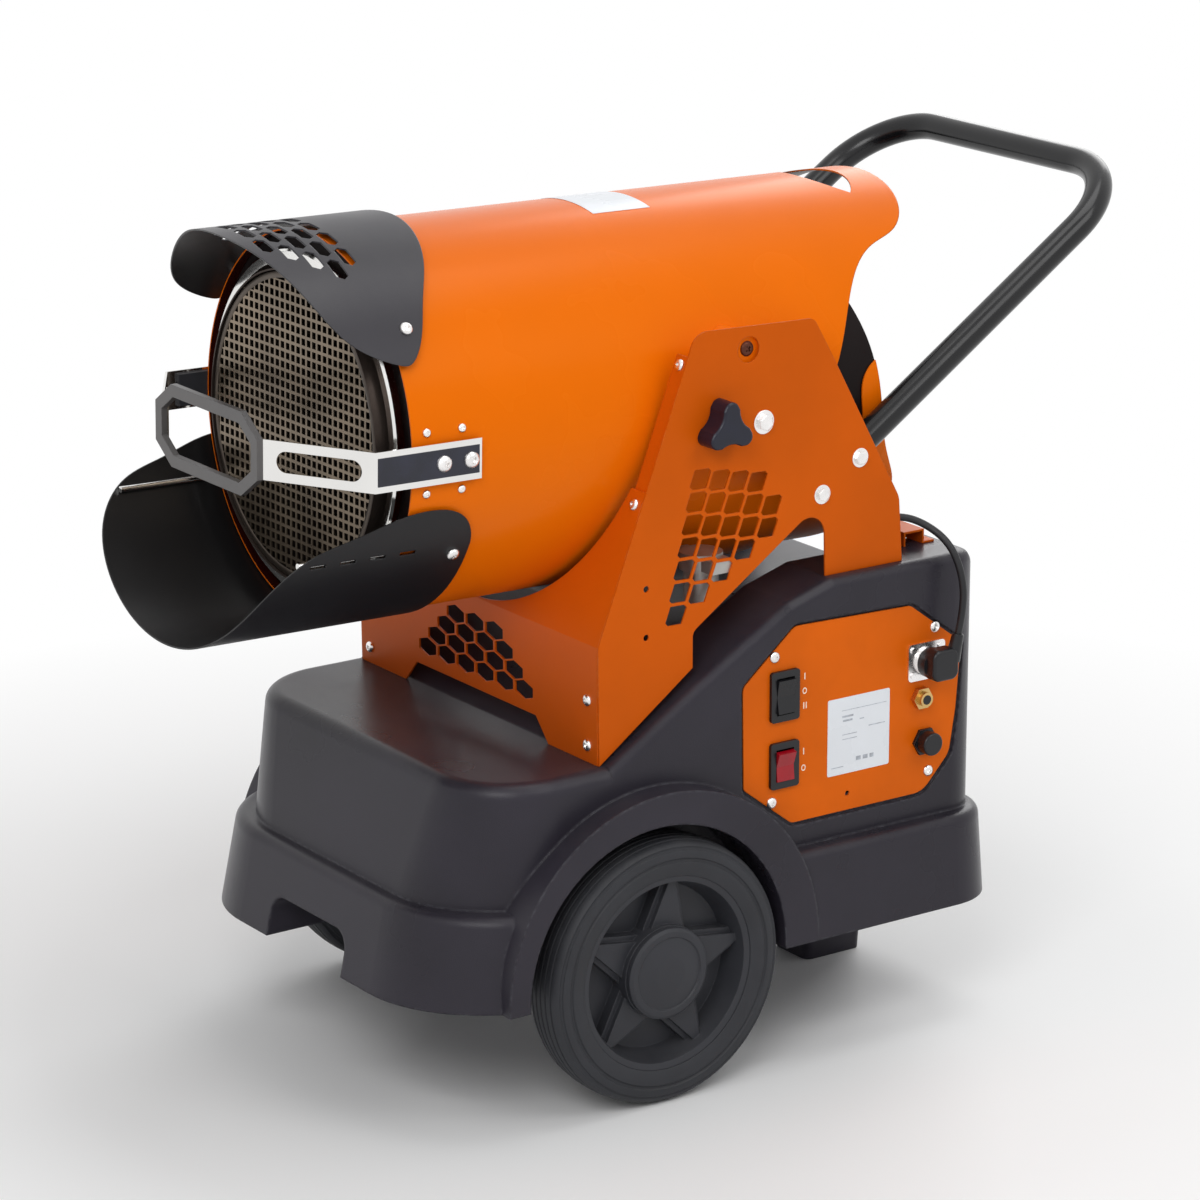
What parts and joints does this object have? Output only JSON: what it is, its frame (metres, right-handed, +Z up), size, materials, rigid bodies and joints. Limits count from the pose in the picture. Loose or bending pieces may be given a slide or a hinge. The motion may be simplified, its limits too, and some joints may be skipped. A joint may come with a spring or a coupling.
{
  "type": "infrared diesel heater",
  "caption": "Wheeled infrared diesel heater: a tilting orange barrel with a mesh emitter and two deflectors, on a moulded fuel tank with a push handle.",
  "frame": {"origin": "middle of the bounding box at floor level, under the wheels and the rear foot", "axes": "+X towards the side with the control panel, -Y towards the glowing front, +Z up"},
  "size_m": [0.4846, 0.9591, 0.8029],
  "materials": {
    "barrel_orange": "gloss orange paint",
    "case_orange": "orange powder coat",
    "tank_black": "grained moulded plastic",
    "wheel_plastic": "moulded plastic",
    "tyre_rubber": "ribbed rubber",
    "dark_steel": "satin dark grey paint",
    "handle_black": "gloss black paint",
    "stainless": "polished stainless steel",
    "mesh_steel": "heat-tinted stainless mesh",
    "zinc": "zinc plated",
    "black_plastic": "black plastic",
    "red_plastic": "red translucent plastic",
    "brass": "turned brass",
    "cast": "cast aluminium",
    "label": "bare printed film",
    "fan_grey": "moulded plastic",
    "motor_grey": "satin grey paint"
  },
  "bodies": {
    "base": {"axle": "zinc", "axle_clamps": "zinc", "brass_port": "brass", "case_bolts": "zinc", "case_screws": "zinc", "control_panel": "case_orange", "front_panel": "case_orange", "fuel_filter": "cast", "fuel_tank": "tank_black", "fuse_holder": "black_plastic", "handle_tube": "handle_black", "junction_box": "black_plastic", "label_plate": "label", "power_switch": "black_plastic", "rear_bar": "case_orange", "rear_foot": "tyre_rubber", "selector_switch": "black_plastic", "side_plate_left": "case_orange", "side_plate_right": "case_orange", "thermostat_lead": "black_plastic", "thermostat_plug": "black_plastic", "thermostat_socket": "zinc"},
    "barrel": {"barrel_shell": "barrel_orange", "top_label": "label", "trunnion_right": "barrel_orange", "trunnion_left": "barrel_orange", "barrel_screws": "zinc", "front_baffle": "dark_steel", "polished_ring": "stainless", "combustion_chamber": "stainless", "emitter_mesh": "mesh_steel", "rear_baffle": "dark_steel", "burner_head": "dark_steel", "bulkhead": "dark_steel", "fuel_pump": "cast", "fan_motor": "motor_grey", "motor_bracket": "zinc", "fan_housing": "dark_steel", "intake_guard": "handle_black", "rear_cover": "barrel_orange", "ignition_transformer": "motor_grey", "upper_deflector": "dark_steel", "lower_deflector": "dark_steel", "deflector_rods": "stainless", "guard_bar_right": "stainless", "guard_bar_left": "stainless", "guard_loop": "fan_grey", "guard_pads": "black_plastic"},
    "wheel_right": {"tyre_right": "tyre_rubber", "rim_right": "wheel_plastic", "hub_cap_right": "wheel_plastic"},
    "wheel_left": {"tyre_left": "tyre_rubber", "rim_left": "wheel_plastic", "hub_cap_left": "wheel_plastic"},
    "fan": {"fan_wheel": "fan_grey"},
    "lock_knob_right": {"lock_knob_right": "black_plastic"},
    "lock_knob_left": {"lock_knob_left": "black_plastic"},
    "selector_rocker": {"selector_rocker": "black_plastic"},
    "power_rocker": {"power_rocker": "red_plastic"},
    "fuel_cap": {"fuel_cap": "black_plastic"}
  },
  "joints": [
    {"name": "barrel_tilt", "type": "hinge", "parent": "base", "child": "barrel", "pos_m": [0, 0.0264, 0.6105], "axis": [-1, 0, 0], "range_deg": [-2, 12]},
    {"name": "wheel_right_spin", "type": "hinge", "parent": "base", "child": "wheel_right", "pos_m": [0.2, -0.1046, 0.125], "axis": [1, 0, 0], "continuous": true},
    {"name": "wheel_left_spin", "type": "hinge", "parent": "base", "child": "wheel_left", "pos_m": [-0.2, -0.1046, 0.125], "axis": [1, 0, 0], "continuous": true},
    {"name": "fan_spin", "type": "hinge", "parent": "barrel", "child": "fan", "pos_m": [0, 0.0264, 0.6105], "axis": [0, 0.9998, -0.0209], "continuous": true},
    {"name": "lock_knob_right_turn", "type": "hinge", "parent": "barrel", "child": "lock_knob_right", "pos_m": [0.2, -0.02353, 0.61455], "axis": [1, 0, 0], "range_deg": [0, 360]},
    {"name": "lock_knob_left_turn", "type": "hinge", "parent": "barrel", "child": "lock_knob_left", "pos_m": [-0.2, -0.02353, 0.61455], "axis": [-1, 0, 0], "range_deg": [0, 360]},
    {"name": "selector_rocker_tip", "type": "hinge", "parent": "base", "child": "selector_rocker", "pos_m": [0.2075, 0.0434, 0.354], "axis": [0, 1, 0], "range_deg": [-10, 10]},
    {"name": "power_rocker_tip", "type": "hinge", "parent": "base", "child": "power_rocker", "pos_m": [0.2075, 0.0434, 0.288], "axis": [0, 1, 0], "range_deg": [-14, 0]},
    {"name": "fuel_cap_turn", "type": "hinge", "parent": "base", "child": "fuel_cap", "pos_m": [-0.183, 0.2284, 0.46], "axis": [0, 0, 1], "range_deg": [0, 360]}
  ]
}
